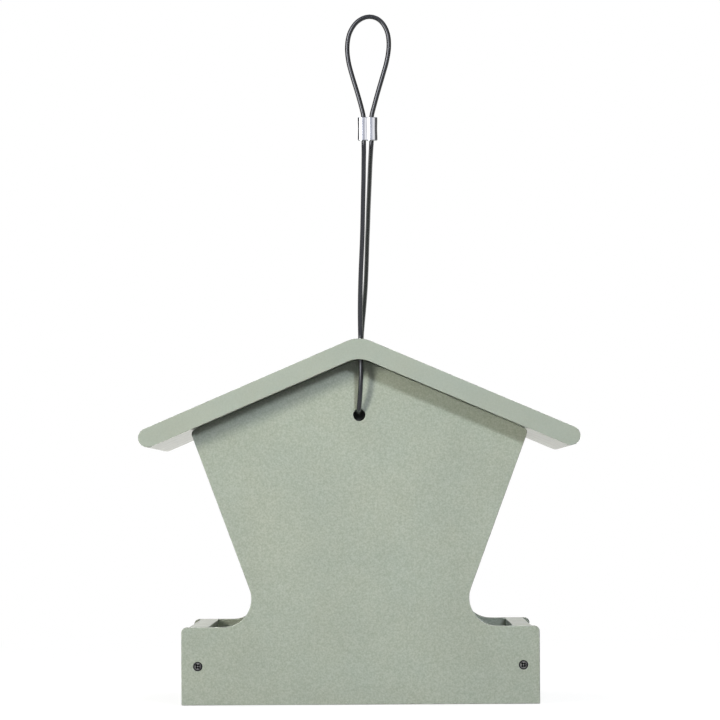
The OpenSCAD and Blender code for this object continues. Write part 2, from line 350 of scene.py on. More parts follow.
# %% Outlines of the panels and the roof
BOARD_T = 0.0127
NEARLY_ALL = 0.95
HOLE_RIM = 0.0062
PANEL_HOLE_Z = 0.193
PANEL_FACE_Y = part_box("rear_end_panel")[1].y


def middle(edge):
    return (edge.verts[0].co + edge.verts[1].co) / 2


def spans_board(face):
    ys = [v.co.y for v in face.verts]
    return max(ys) - min(ys) > BOARD_T * NEARLY_ALL


def by_panel_hole(edge):
    at = middle(edge)
    return math.hypot(at.x, at.z - PANEL_HOLE_Z) < HOLE_RIM


def panel_outline(edge):
    return any(spans_board(f) for f in edge.link_faces) and not by_panel_hole(edge)


def panel_lip(edge):
    return by_panel_hole(edge) and abs(abs(middle(edge).y) - PANEL_FACE_Y) < TOUCH


def roof_outline(edge):
    at = middle(edge)
    return math.hypot(at.x, abs(at.y) - ROOF_HOLE_Y) > HOLE_RIM


# %% [markdown]
# A rail is a plain bar, so an edge belongs to its outline where it touches two sides of the rail's
# box. On the floor it is a long edge beside a broad face, which leaves out the drain holes. The
# roof's edges stay crisper than the others, as the real one's do.

# %% Outlines of the rails and the floor, and all boards
ROOF_EASE = 0.00012
BROAD_FACE = 0.0001
LONG_EDGE = 0.05
ALONG_X, ALONG_Y, ALONG_Z = range(3)
RAIL_LOW, RAIL_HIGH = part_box("right_tray_rail")


def rail_outline(edge):
    at = middle(edge)
    outside = (RAIL_LOW.x, RAIL_HIGH.x, RAIL_LOW.y, RAIL_HIGH.y, RAIL_LOW.z, RAIL_HIGH.z)
    place = (abs(at.x), abs(at.x), at.y, at.y, at.z, at.z)
    return sum(abs(a - b) < TOUCH for a, b in zip(place, outside)) >= 2


def floor_outline(edge):
    broad = max(f.calc_area() for f in edge.link_faces) > BROAD_FACE
    return broad and edge.calc_length() > LONG_EDGE


boards = [eased_board(*board) for board in (
    ("front_panel_board", "front_end_panel", "feeder", panel_outline, ALONG_Y, EASE, panel_lip),
    ("rear_panel_board", "rear_end_panel", "feeder", panel_outline, ALONG_Y, EASE, panel_lip),
    ("bent_roof_board", "roof", "roof", roof_outline, ALONG_Z, ROOF_EASE, None),
    ("left_rail_board", "left_tray_rail", "feeder", rail_outline, ALONG_X, EASE, None),
    ("right_rail_board", "right_tray_rail", "feeder", rail_outline, ALONG_X, EASE, None),
    ("tray_floor_board", "tray_floor", "feeder", floor_outline, ALONG_Z, EASE, None),
)]

# %% [markdown]
# ## The windows
#
# Each window is a clear acrylic sheet that slides down its grooves and leans outwards. Its cut
# edges were flamed, so their corners are slightly round. The sheet keeps its thickness, because
# light bends through both of its faces.

# %% Windows
WINDOW_EASE = 0.0004

windows = []
for side in ("left", "right"):
    bm = merged_copy(side + "_window")
    mark = bm.faces.layers.float.new("eased")
    ease_edges(bm, corner_edges(bm), WINDOW_EASE, 2, mark)
    pane = link_mesh(bm, side + "_window_pane")
    finish_piece(pane, "feeder", "clear_window", side + "_window")
    windows.append(pane)
print("windows", [w.name for w in windows])

# %% [markdown]
# ## The small metal pieces
#
# The ferrule is a double aluminium sleeve. The crimping tool has pressed it round both strands, so
# it has a barrel over each, a valley between, a slight waist where the jaws closed and softer ends.
# The copy is cut into short rings, its rims are rounded, and the rings between the ends are drawn
# in a little. The bores keep their size, because the cable fills them.

# %% Ferrule
FERRULE_EASE = 0.0007
FERRULE_RINGS = 14
UPRIGHT = 0.01
CRIMP = 0.00016
JAW_REACH = 0.8
BORE_REACH = CABLE_D * 0.6

bm = merged_copy("ferrule")
mark = bm.faces.layers.float.new("eased")
low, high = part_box("ferrule")
centre = (low + high) / 2
half_height = (high.z - low.z) / 2
uprights = [e for e in bm.edges if abs(e.verts[0].co.z - e.verts[1].co.z) > UPRIGHT]
bmesh.ops.subdivide_edges(bm, edges=uprights, cuts=FERRULE_RINGS, use_grid_fill=True)
rims = [
    e for e in corner_edges(bm)
    if all(abs(abs(v.co.z - centre.z) - half_height) < TOUCH for v in e.verts)
]
ease_edges(bm, rims, FERRULE_EASE, 4, mark)
for v in bm.verts:
    along = abs(v.co.z - centre.z) / half_height
    away = Vector((v.co.x - centre.x, v.co.y, 0))
    nearest_bore = min(math.hypot(v.co.x - x, v.co.y) for x in (LOOP_XZ[0][0], LOOP_XZ[-1][0]))
    if along < JAW_REACH and nearest_bore > BORE_REACH:
        jaw = math.cos(along / JAW_REACH * math.pi / 2) ** 2
        v.co -= away.normalized() * CRIMP * jaw
ferrule = link_mesh(bm, "crimped_ferrule")
finish_piece(ferrule, "hanger", "aluminium_sleeve", "ferrule")
print("ferrule faces", len(ferrule.data.polygons))

# %% [markdown]
# The screws have a flat round head with a cross recess. The stops and the rubber washers under them
# sit inside the hopper. A fine round-over on their rims is all that these small pieces need.

# %% Screws, washers and stops
SCREW_EASE = 0.00022
WASHER_EASE = 0.00025
STOP_EASE = 0.0003

small_pieces = {"black_screw": [], "rubber_washer": [], "aluminium_sleeve": [ferrule]}
for end in ("front", "rear"):
    for node, name, width, slot in (
        ("_rail_screws", "_screws", SCREW_EASE, "black_screw"),
        ("_cable_washer", "_washer", WASHER_EASE, "rubber_washer"),
        ("_cable_stop", "_stop", STOP_EASE, "aluminium_sleeve"),
    ):
        bm = merged_copy(end + node)
        mark = bm.faces.layers.float.new("eased")
        ease_edges(bm, corner_edges(bm), width, 3, mark)
        piece = link_mesh(bm, end + name)
        finish_piece(piece, "feeder", slot, end + node)
        small_pieces[slot].append(piece)
print({slot: [p.name for p in made] for slot, made in small_pieces.items()})

# %% [markdown]
# ## Finishes
#
# Each finish is a node material. A few short helpers add the nodes, so that a finish reads like a
# recipe. A colour is written as it is seen, from 0 to 255, and turned into the linear numbers that
# the shader wants. An input takes either a plain value or the output of another node.

# %% Helpers that add nodes
def seen(red, green, blue):
    """Linear colour of a colour as seen on a screen."""
    parts = []
    for part in (red, green, blue):
        part /= 255
        parts.append(part / 12.92 if part < 0.04045 else ((part + 0.055) / 1.055) ** 2.4)
    return (*parts, 1)


def set_inputs(tree, node, inputs):
    """Sets each named input to its value, or links it to the socket that is given."""
    for name, value in inputs.items():
        if isinstance(value, bpy.types.NodeSocket):
            tree.links.new(value, node.inputs[name])
        else:
            node.inputs[name].default_value = value


def add_node(tree, kind, inputs=None, **settings):
    node = tree.nodes.new("ShaderNode" + kind)
    for name, value in settings.items():
        setattr(node, name, value)
    set_inputs(tree, node, inputs or {})
    return node


def start_material(name):
    """A material with its shader linked to the output."""
    material = bpy.data.materials.new(name)
    material.use_nodes = True
    tree = material.node_tree
    tree.nodes.clear()
    shader = add_node(tree, "BsdfPrincipled")
    add_node(tree, "OutputMaterial", {"Surface": shader.outputs["BSDF"]})
    return material, tree, shader


def paint(pieces, material):
    for piece in pieces:
        piece.data.materials.clear()
        piece.data.materials.append(material)


# %% [markdown]
# The next helpers do sums. Noise stays well inside 0 to 1, so one of them maps the span that noise
# really uses. The sockets of a Mix node are taken by number, because its colour inputs share their
# names with those for numbers.

# %% Helpers that combine nodes
MIX_SHARE, MIX_FIRST, MIX_SECOND, MIX_RESULT = 0, 6, 7, 2
NOISE_LOW, NOISE_HIGH = 0.3, 0.7


def number(tree, how, first, second=0.0, clamp=False):
    return add_node(tree, "Math", {0: first, 1: second}, operation=how, use_clamp=clamp).outputs[0]


def times(tree, first, second):
    return number(tree, "MULTIPLY", first, second)


def spread(tree, value, low, high, to_low=0.0, to_high=1.0):
    """Maps low..high to to_low..to_high, and holds it there outside."""
    return add_node(
        tree, "MapRange",
        {"Value": value, "From Min": low, "From Max": high, "To Min": to_low, "To Max": to_high},
    ).outputs[0]


def from_noise(tree, value, to_low=0.0, to_high=1.0):
    return spread(tree, value, NOISE_LOW, NOISE_HIGH, to_low, to_high)


def blend_colours(tree, share, first, second, how="MIX"):
    """Colour that goes from the first to the second with the share."""
    return add_node(
        tree, "Mix", {MIX_SHARE: share, MIX_FIRST: first, MIX_SECOND: second},
        data_type="RGBA", blend_type=how,
    ).outputs[MIX_RESULT]


def three_parts(tree, first, second, third):
    """One colour out of three numbers."""
    return add_node(tree, "CombineColor", {0: first, 1: second, 2: third}).outputs[0]


def bump(tree, height, strength, distance):
    return add_node(
        tree, "Bump", {"Height": height, "Strength": strength, "Distance": distance}
    ).outputs[0]


# %% [markdown]
# Patterns need a place to start from. On a rigid piece that is its own coordinates, on the cable
# the place that each vertex kept. A Mapping node stretches a pattern into streaks.

# %% Helpers that place a pattern
def own_place(tree):
    return add_node(tree, "TexCoord").outputs["Object"]


def kept_mark(tree, name, output="Fac"):
    return add_node(tree, "Attribute", attribute_name=name).outputs[output]


def stretched(tree, vector, scale):
    return add_node(tree, "Mapping", {"Vector": vector, "Scale": scale}).outputs[0]


def noise(tree, vector, scale, detail, **more):
    more = {name.capitalize(): value for name, value in more.items()}
    return add_node(
        tree, "TexNoise", {"Vector": vector, "Scale": scale, "Detail": detail, **more}
    ).outputs[0]


# %% [markdown]
# Three effects serve more than one finish, so each is a node group with named inputs and outputs.
# These two helpers start a group, and place a group in a material with its own values.

# %% Helpers for shared effects
def start_group(name, inputs, outputs):
    """An empty node group with those sockets, its tree, and the nodes that carry them."""
    tree = bpy.data.node_groups.new(name, "ShaderNodeTree")
    for label, kind, value in inputs:
        socket = tree.interface.new_socket(label, in_out="INPUT", socket_type=kind)
        if value is not None:
            socket.default_value = value
    for label in outputs:
        tree.interface.new_socket(label, in_out="OUTPUT", socket_type="NodeSocketFloat")
    return tree, tree.nodes.new("NodeGroupInput"), tree.nodes.new("NodeGroupOutput")


def place_group(tree, group, inputs):
    node = tree.nodes.new("ShaderNodeGroup")
    node.node_tree = group
    set_inputs(tree, node, inputs)
    return node


# %% [markdown]
# The first effect is grain: a fine speckle, a broad cloud, a second cloud for the tint, and a
# height that adds a coarser grain to the fine one.

# %% Grain
COARSER = 0.42
FINE_SHARE = 0.55
ASIDE = (3.0, 7.0, 5.0)


def make_grain():
    tree, given, result = start_group(
        "grain",
        [("Vector", "NodeSocketVector", None), ("Grains per metre", "NodeSocketFloat", 700.0),
         ("Clouds per metre", "NodeSocketFloat", 25.0)],
        ["Speckle", "Cloud", "Tint", "Height"],
    )
    vector = given.outputs["Vector"]
    grains = given.outputs["Grains per metre"]
    clouds = given.outputs["Clouds per metre"]
    fine = noise(tree, vector, grains, 2.0, roughness=0.6)
    broad = noise(tree, vector, clouds, 3.0, roughness=0.55)
    aside = add_node(tree, "VectorMath", {0: vector, 1: ASIDE}, operation="ADD").outputs[0]
    tint = noise(tree, aside, clouds, 4.0, roughness=0.7)
    coarse = noise(tree, vector, times(tree, grains, COARSER), 1.0)
    height = number(tree, "ADD", times(tree, fine, FINE_SHARE), times(tree, coarse, 1 - FINE_SHARE))
    set_inputs(tree, result, {"Speckle": fine, "Cloud": broad, "Tint": tint, "Height": height})
    return tree


grain = make_grain()
print("effect:", grain.name)

# %% [markdown]
# The second effect is scuffs, which are sparse hairlines. They are stretched noise of which only
# the peaks are kept. The third is drawn lines, the fine streaks that a die leaves along metal or a
# saw across a board.

# %% Scuffs and drawn lines
SCUFF_TURN = (0.5, 0.9, 0.3)
SCUFF_STRETCH = (1.0, 9.0, 1.4)
SCUFF_CONTRAST = 14.0


def make_scuffs():
    tree, given, result = start_group(
        "scuffs",
        [("Vector", "NodeSocketVector", None), ("Marks per metre", "NodeSocketFloat", 60.0),
         ("Rarity", "NodeSocketFloat", 0.7)],
        ["Mask"],
    )
    turned = add_node(tree, "Mapping", {
        "Vector": given.outputs["Vector"], "Rotation": SCUFF_TURN, "Scale": SCUFF_STRETCH,
    }).outputs[0]
    lines = noise(tree, turned, given.outputs["Marks per metre"], 2.0, distortion=0.3)
    over = number(tree, "SUBTRACT", lines, given.outputs["Rarity"])
    mask = number(tree, "MULTIPLY", over, SCUFF_CONTRAST, clamp=True)
    set_inputs(tree, result, {"Mask": mask})
    return tree


def make_drawn_lines():
    tree, given, result = start_group(
        "drawn_lines",
        [("Vector", "NodeSocketVector", None), ("Lines per metre", "NodeSocketFloat", 900.0)],
        ["Lines"],
    )
    lines = noise(tree, given.outputs["Vector"], given.outputs["Lines per metre"], 3.0,
                  roughness=0.65)
    set_inputs(tree, result, {"Lines": lines})
    return tree


scuffs = make_scuffs()
drawn_lines = make_drawn_lines()
print("effects:", scuffs.name, drawn_lines.name)

# %% [markdown]
# ### Sage board
#
# The board is pressed from recycled plastic, so its sheet faces carry a fine pebbled grain with
# lighter and darker specks. A broad cloud shifts them a little in brightness, and another between a
# warmer and a cooler green. The sawn and routed edges are smoother and more even. The round-overs
# are paler, partly as burnished wear and partly as a painted highlight along the edges.

# %% Board colour
BOARD_DARK = seen(162, 169, 155)
BOARD_PALE = seen(187, 192, 182)
BOARD_CUT = seen(174, 180, 170)
# The pale colour below serves wear and scuffs, and also a painted highlight on the round-overs.
BOARD_WORN_AND_HIGHLIGHT = seen(196, 200, 190)
CLOUD_DARK, CLOUD_PALE = 0.965, 1.035
TINT_LESS, TINT_MORE = 0.986, 1.014
CUT_COVERS, WEAR_AND_HIGHLIGHT_COVERS, SCUFF_COVERS = 0.7, 0.4, 0.2

board_finish, tree, shader = start_material("sage_recycled_board")
place = own_place(tree)
sawn = kept_mark(tree, "sawn")
eased = kept_mark(tree, "eased")
pebbles = place_group(tree, grain, {
    "Vector": place, "Grains per metre": 900.0, "Clouds per metre": 22.0}).outputs
marks = place_group(tree, scuffs, {
    "Vector": place, "Marks per metre": 22.0, "Rarity": 0.69}).outputs["Mask"]
colour = blend_colours(tree, from_noise(tree, pebbles["Speckle"]), BOARD_DARK, BOARD_PALE)
colour = blend_colours(tree, times(tree, sawn, CUT_COVERS), colour, BOARD_CUT)
cloud = from_noise(tree, pebbles["Cloud"], CLOUD_DARK, CLOUD_PALE)
warm = from_noise(tree, pebbles["Tint"], TINT_LESS, TINT_MORE)
cool = from_noise(tree, pebbles["Tint"], TINT_MORE, TINT_LESS)
shade = three_parts(tree, times(tree, cloud, warm), cloud, times(tree, cloud, cool))
colour = blend_colours(tree, 1.0, colour, shade, "MULTIPLY")
# Round-overs painted paler: partly burnished wear, partly a painted highlight along the edges.
colour = blend_colours(tree, times(tree, eased, WEAR_AND_HIGHLIGHT_COVERS), colour, BOARD_WORN_AND_HIGHLIGHT)
colour = blend_colours(tree, times(tree, marks, SCUFF_COVERS), colour, BOARD_WORN_AND_HIGHLIGHT)
set_inputs(tree, shader, {"Base Color": colour})

# %% [markdown]
# The surface is matte, but seen along its length it mirrors the bright studio, as the undersides of
# the eaves do. A thin coat with a low index does that and leaves the faces that point at the camera
# matte. The bump is the pebbled grain on sheet faces and the marks of the blade on sawn ones.

# %% Board surface
ROUGH_LOW, ROUGH_HIGH = 0.5, 0.6
CUT_SMOOTHER = 0.04
CUT_LESS_GRAIN = 0.8
BLADE_STRETCH = (1.0, 0.06, 1.0)
BLADE_HEIGHT = 0.5
COAT_LEAST = 0.8
PATCH_LOW, PATCH_HIGH = 0.4, 0.58

rough = from_noise(tree, pebbles["Speckle"], ROUGH_LOW, ROUGH_HIGH)
rough = number(tree, "SUBTRACT", rough, times(tree, sawn, CUT_SMOOTHER))
blade_lines = place_group(tree, drawn_lines, {
    "Vector": stretched(tree, place, BLADE_STRETCH), "Lines per metre": 420.0}).outputs["Lines"]
less_grain = number(tree, "SUBTRACT", 1.0, times(tree, sawn, CUT_LESS_GRAIN))
height = number(tree, "ADD", times(tree, pebbles["Height"], less_grain),
                times(tree, blade_lines, times(tree, sawn, BLADE_HEIGHT)))
coat = times(tree, from_noise(tree, pebbles["Speckle"], COAT_LEAST, 1.0),
             spread(tree, pebbles["Tint"], PATCH_LOW, PATCH_HIGH, COAT_LEAST, 1.0))
set_inputs(tree, shader, {
    "Roughness": rough, "Normal": bump(tree, height, strength=0.35, distance=0.0003),
    "Coat Weight": coat, "IOR": 1.4, "Coat IOR": 1.25, "Coat Roughness": 0.16,
})
paint(boards, board_finish)
print(board_finish.name, "on", [b.name for b in boards])

# %% [markdown]
# ### Clear acrylic
#
# The sheet is clear with a faint cool tint. A few hairline scratches and a trace of haze keep it
# from looking like empty air. Only its cut edges are frosted.

# %% Window material
SHEET_TINT = seen(246, 250, 251)
EDGE_TINT = seen(222, 236, 238)
CLEAR_LOW, CLEAR_HIGH = 0.015, 0.05
SCRATCH_ROUGHER, EDGE_ROUGHER = 0.12, 0.25

window_finish, tree, shader = start_material("clear_acrylic_sheet")
place = own_place(tree)
cut_edge = kept_mark(tree, "eased")
haze = place_group(tree, grain, {
    "Vector": place, "Grains per metre": 300.0, "Clouds per metre": 20.0}).outputs["Cloud"]
hairlines = place_group(tree, scuffs, {
    "Vector": place, "Marks per metre": 45.0, "Rarity": 0.68}).outputs["Mask"]
rough = from_noise(tree, haze, CLEAR_LOW, CLEAR_HIGH)
rough = number(tree, "ADD", rough, times(tree, hairlines, SCRATCH_ROUGHER))
rough = number(tree, "ADD", rough, times(tree, cut_edge, EDGE_ROUGHER), clamp=True)
set_inputs(tree, shader, {
    "Base Color": blend_colours(tree, cut_edge, SHEET_TINT, EDGE_TINT), "Roughness": rough,
    "Normal": bump(tree, hairlines, strength=0.05, distance=0.0002),
    "IOR": 1.49, "Transmission Weight": 1.0,
})
paint(windows, window_finish)
print(window_finish.name, "on", [w.name for w in windows])

# %% [markdown]
# ### Coated cable
#
# The vinyl coat is black and glossy, and it shows the lay of the steel strands beneath it as a very
# shallow twist. The twist runs round the straightened cable, so the pattern reads the place that
# each vertex kept when the cable was swept. A high index makes the coat's highlight as bright as
# the real one's.

# %% Cable material
CABLE_BLACK = seen(11, 11, 13)
CABLE_WORN = seen(20, 21, 23)
STRANDS = 6.0
TWISTS_PER_METRE = 95.0
TWIST_HEIGHT, GRAIN_HEIGHT = 0.25, 0.35
STREAK_STRETCH = (1, 1, 0.08)

cable_finish, tree, shader = start_material("black_vinyl_coat")
straight = kept_mark(tree, "straight_cable", "Vector")
parts = add_node(tree, "SeparateXYZ", {0: straight}).outputs
around = number(tree, "ARCTAN2", parts["Y"], parts["X"])
along = times(tree, parts["Z"], TWISTS_PER_METRE * 2 * math.pi)
lay = number(tree, "SINE", number(tree, "ADD", times(tree, around, STRANDS), along))
vinyl = place_group(tree, grain, {
    "Vector": straight, "Grains per metre": 1500.0, "Clouds per metre": 90.0}).outputs
streaks = place_group(tree, drawn_lines, {
    "Vector": stretched(tree, straight, STREAK_STRETCH),
    "Lines per metre": 1400.0}).outputs["Lines"]
height = number(tree, "ADD", times(tree, lay, TWIST_HEIGHT),
                times(tree, vinyl["Height"], GRAIN_HEIGHT))
set_inputs(tree, shader, {
    "Base Color": blend_colours(tree, from_noise(tree, vinyl["Cloud"]), CABLE_BLACK, CABLE_WORN),
    "Roughness": from_noise(tree, streaks, 0.2, 0.25),
    "Normal": bump(tree, height, strength=0.012, distance=0.0001),
    "IOR": 1.95, "Specular Tint": (0.92, 0.94, 1.0, 1.0),
})
paint(cable_pieces, cable_finish)
print(cable_finish.name, "on", [c.name for c in cable_pieces])

# %% [markdown]
# ### Rubber
#
# The washers are black rubber, punched from sheet: dull, faintly pitted and dusty in places.

# %% Rubber material
RUBBER_CLEAN = seen(60, 60, 59)
RUBBER_DUSTY = seen(88, 88, 86)
DUST_LOW, DUST_HIGH = 0.35, 0.7

rubber_finish, tree, shader = start_material("black_rubber")
pits = place_group(tree, grain, {
    "Vector": own_place(tree), "Grains per metre": 1800.0, "Clouds per metre": 160.0}).outputs
dust = spread(tree, pits["Cloud"], DUST_LOW, DUST_HIGH)
set_inputs(tree, shader, {
    "Base Color": blend_colours(tree, dust, RUBBER_CLEAN, RUBBER_DUSTY),
    "Roughness": from_noise(tree, pits["Speckle"], 0.6, 0.8),
    "Normal": bump(tree, pits["Height"], strength=0.3, distance=0.0001),
})
paint(small_pieces["rubber_washer"], rubber_finish)
print(rubber_finish.name, "on", [p.name for p in small_pieces["rubber_washer"]])

# %% [markdown]
# ### Metals
#
# The ferrule and the stops are bright soft aluminium, with fine lines along the sleeve from its
# die. The screws are steel under a thin black coat. Both have drawn lines and scuffs, so one helper
# makes them, and hands its parts back so that a finish can add to them.

# %% Aluminium, and the helper for metals
def metal(name, dark, pale, stretch, lines_per_metre, rough_low, rough_high, depth):
    """A metal with drawn lines and scuffs: material, tree, shader, own place and colour."""
    material, tree, shader = start_material(name)
    place = own_place(tree)
    lines = place_group(tree, drawn_lines, {
        "Vector": stretched(tree, place, stretch),
        "Lines per metre": lines_per_metre}).outputs["Lines"]
    marks = place_group(tree, scuffs, {
        "Vector": place, "Marks per metre": 240.0, "Rarity": 0.64}).outputs["Mask"]
    colour = blend_colours(tree, from_noise(tree, lines), dark, pale)
    rough = number(tree, "ADD", from_noise(tree, lines, rough_low, rough_high),
                   times(tree, marks, rough_high - rough_low))
    set_inputs(tree, shader, {
        "Base Color": colour, "Roughness": rough, "Metallic": 1.0,
        "Normal": bump(tree, lines, strength=0.2, distance=depth),
    })
    return material, tree, shader, place, colour


aluminium_finish, *_ = metal(
    "crimped_aluminium", dark=seen(218, 220, 226), pale=seen(240, 241, 246),
    stretch=(1, 1, 0.02), lines_per_metre=1600.0, rough_low=0.12, rough_high=0.15, depth=0.000003)
paint(small_pieces["aluminium_sleeve"], aluminium_finish)
print(aluminium_finish.name, "on", [p.name for p in small_pieces["aluminium_sleeve"]])

# %% [markdown]
# The screw heads carry painted light. A broken pale ring round the recess is a painted highlight,
# a pale spot at the very centre is a painted glint, and the arms of the recess are painted dark as
# shade. All of this is drawn from the distance to the middle of the nearest screw, and to its
# diagonals, because the cross of each recess stands on its corners. Each edge is a pair of
# distances between which a mark fades.

# %% Screw material
SCREW_X, SCREW_Z = 0.10855, 0.0259
ARM_SIDE = (0.0007, 0.0011)
ARM_END = (0.0016, 0.0021)
GLINT_EDGE = (0.0002, 0.0005)
RING_INNER = (0.0009, 0.0012)
RING_OUTER = (0.002, 0.0026)
GLINT_SHARE = 0.8
RING_GAP, RING_FULL = 0.1, 0.75
GAPS_LOW, GAPS_HIGH = 0.4, 0.6


def inside(tree, distance, edge, level=1.0):
    """The level inside an edge, and 0 outside it."""
    return spread(tree, distance, *edge, level, 0.0)


screw_finish, tree, shader, place, colour = metal(
    "black_coated_steel", dark=seen(40, 40, 42), pale=seen(66, 66, 68),
    stretch=(1, 0.3, 1), lines_per_metre=1500.0, rough_low=0.34, rough_high=0.5, depth=0.00005)
parts = add_node(tree, "SeparateXYZ", {0: place}).outputs
off_x = number(tree, "SUBTRACT", number(tree, "ABSOLUTE", parts["X"]), SCREW_X)
off_z = number(tree, "SUBTRACT", parts["Z"], SCREW_Z)
off = number(tree, "SQRT", number(tree, "ADD", times(tree, off_x, off_x),
                                  times(tree, off_z, off_z)))
off_diagonal = number(tree, "ABSOLUTE", number(
    tree, "SUBTRACT", number(tree, "ABSOLUTE", off_x), number(tree, "ABSOLUTE", off_z)))
recess = times(tree, inside(tree, off_diagonal, ARM_SIDE), inside(tree, off, ARM_END))
ring = times(tree, spread(tree, off, *RING_INNER), inside(tree, off, RING_OUTER))
patchy = place_group(tree, grain, {
    "Vector": place, "Grains per metre": 900.0, "Clouds per metre": 420.0}).outputs["Cloud"]
broken = spread(tree, patchy, GAPS_LOW, GAPS_HIGH, RING_GAP, RING_FULL)
# A broken pale ring round the recess, as a painted highlight.
colour = blend_colours(tree, times(tree, ring, broken), colour, seen(168, 167, 164))
# The arms of the recess are painted dark, as painted shade.
colour = blend_colours(tree, recess, colour, seen(30, 30, 31))
# A pale spot at the very centre, as a painted glint.
painted_glint = inside(tree, off, GLINT_EDGE, GLINT_SHARE)
set_inputs(tree, shader, {"Base Color": blend_colours(tree, painted_glint, colour, seen(225, 225, 225))})
paint(small_pieces["black_screw"], screw_finish)
print("materials:", sorted(m.name for m in bpy.data.materials))

# %% [markdown]
# ## Floor, studio and light
#
# The feeder stands in a white studio. The background is white because the camera sees it as white,
# so no light is spent on it. The floor lies a hair under the feeder. Near the feeder it takes real
# light and keeps the feeder's shadow, and further out it fades to the same white as the room.
#
# What gloss mirrors of the floor has levels of its own. Behind the feeder the floor is bright, and
# dimmer to the right, as the undersides of the eaves show. In front of it the floor lies in the dim
# half of the studio, except far out below the soft box, which the left half of the cable's loop
# shows. The floor and the room share the box's level and its bearings. These are in degrees round
# the feeder: 0 is the camera's side, and negative ones are to the left.

# %% What the floor and the room share
SOFT_BOX = 6.6
BOX_LEFT, BOX_RIGHT = -46, -28
BOX_FADE_LEFT, BOX_FADE_RIGHT = -51, -21


def grey(level):
    return (level, level, level, 1)


print("soft box from", BOX_LEFT, "to", BOX_RIGHT, "degrees")

# %% [markdown]
# The floor's material adds two shaders: a diffuse one that takes light and shadow, and an emission
# that makes up the rest of the white for any ray that looks at the floor. Rays that only gather
# light see a plain grey floor, so the floor bounces no more than a real one.

# %% Floor
FLOOR_HALF = 6.0
FLOOR_GAP = 0.0004
FLOOR_BOUNCE = seen(125, 125, 125)
FLOOR_SHARE = 0.3
FLOOR_LIT = 0.5
SHADOW_NEAR, SHADOW_FAR = 0.5, 1.4

bm = bmesh.new()
bmesh.ops.create_grid(bm, x_segments=8, y_segments=8, size=FLOOR_HALF)
bmesh.ops.translate(bm, vec=(0, 0, -FLOOR_GAP), verts=bm.verts)
floor = link_mesh(bm, "studio_floor")

floor_finish = bpy.data.materials.new("studio_floor")
floor_finish.use_nodes = True
tree = floor_finish.node_tree
tree.nodes.clear()
path = add_node(tree, "LightPath").outputs
looked_at = number(tree, "MAXIMUM", path["Is Camera Ray"],
                   number(tree, "MAXIMUM", path["Is Glossy Ray"], path["Is Transmission Ray"]))
place = own_place(tree)
away = add_node(tree, "VectorMath", {0: place}, operation="LENGTH").outputs["Value"]
shadow_share = times(tree, spread(tree, away, SHADOW_NEAR, SHADOW_FAR, 1.0, 0.0), FLOOR_SHARE)
near_grey = three_parts(tree, shadow_share, shadow_share, shadow_share)
takes_light = add_node(tree, "BsdfDiffuse", {
    "Color": blend_colours(tree, looked_at, FLOOR_BOUNCE, near_grey)})
glow_level = number(tree, "SUBTRACT", 1.0, times(tree, shadow_share, FLOOR_LIT))

# %% [markdown]
# The mirrored levels are blended from left to right, then from front to back. The patch below the
# soft box comes last. It lies between the box's bearings, well away from the feeder.

# %% What gloss sees of the floor
MIRROR_LEFT = (1.12, 1.12, 1.06, 1)
MIRROR_RIGHT = (0.95, 0.95, 0.89, 1)
MIRROR_FRONT = (0.25, 0.25, 0.26, 1)
LEFT_SIDE, RIGHT_SIDE = -0.15, 0.15
FRONT_SIDE, BACK_SIDE = -0.2, 0.6
PATCH_NEAR, PATCH_FAR = 0.8, 1.6

parts = add_node(tree, "SeparateXYZ", {0: place}).outputs
across, behind = parts["X"], parts["Y"]
mirror = blend_colours(tree, spread(tree, across, LEFT_SIDE, RIGHT_SIDE), MIRROR_LEFT, MIRROR_RIGHT)
mirror = blend_colours(tree, spread(tree, behind, FRONT_SIDE, BACK_SIDE), MIRROR_FRONT, mirror)
bearing = number(tree, "ARCTAN2", across, times(tree, behind, -1.0))
right_of_start = spread(tree, bearing, math.radians(BOX_FADE_LEFT), math.radians(BOX_LEFT))
left_of_end = spread(tree, bearing, math.radians(BOX_RIGHT), math.radians(BOX_FADE_RIGHT), 1.0, 0.0)
below_box = times(tree, times(tree, right_of_start, left_of_end),
                  spread(tree, away, PATCH_NEAR, PATCH_FAR))
mirror = blend_colours(tree, below_box, mirror, grey(SOFT_BOX))
glow = add_node(tree, "Emission", {
    "Color": blend_colours(tree, path["Is Glossy Ray"], grey(1.0), mirror),
    "Strength": times(tree, looked_at, glow_level)})
both = add_node(tree, "AddShader", {0: takes_light.outputs[0], 1: glow.outputs[0]})
add_node(tree, "OutputMaterial", {"Surface": both.outputs[0]})
floor.data.materials.append(floor_finish)
print("floor", 2 * FLOOR_HALF, "m wide")

# %% [markdown]
# The room is described by direction. Behind the feeder it is a lit white backdrop. In front of it
# is the dim half of the studio where the camera stands. What is mirrored needs more contrast than
# what only fills the shadows, so each has its own ramp. A colour ramp holds no level over 1, so the
# levels go in as shares of the soft box and are multiplied back.

# %% Helpers for the room
def room_ramp(tree, place, stops):
    """A ramp of levels by place, up to SOFT_BOX. Each stop may bring a tint of its own."""
    ramp = add_node(tree, "ValToRGB", {0: place})
    points = ramp.color_ramp.elements
    while len(points) < len(stops):
        points.new(0.5)
    for point, (position, level, *tint) in zip(points, stops):
        point.position = position
        share = level / SOFT_BOX
        point.color = (*[share * part for part in (tint[0] if tint else (1, 1, 1))], 1)
    return blend_colours(tree, 1.0, ramp.outputs[0], grey(SOFT_BOX), "MULTIPLY")


def degrees_round(stops):
    """Turns bearings from -180 to 180 into places from 0 to 1."""
    return [((angle + 180) / 360, *rest) for angle, *rest in stops]


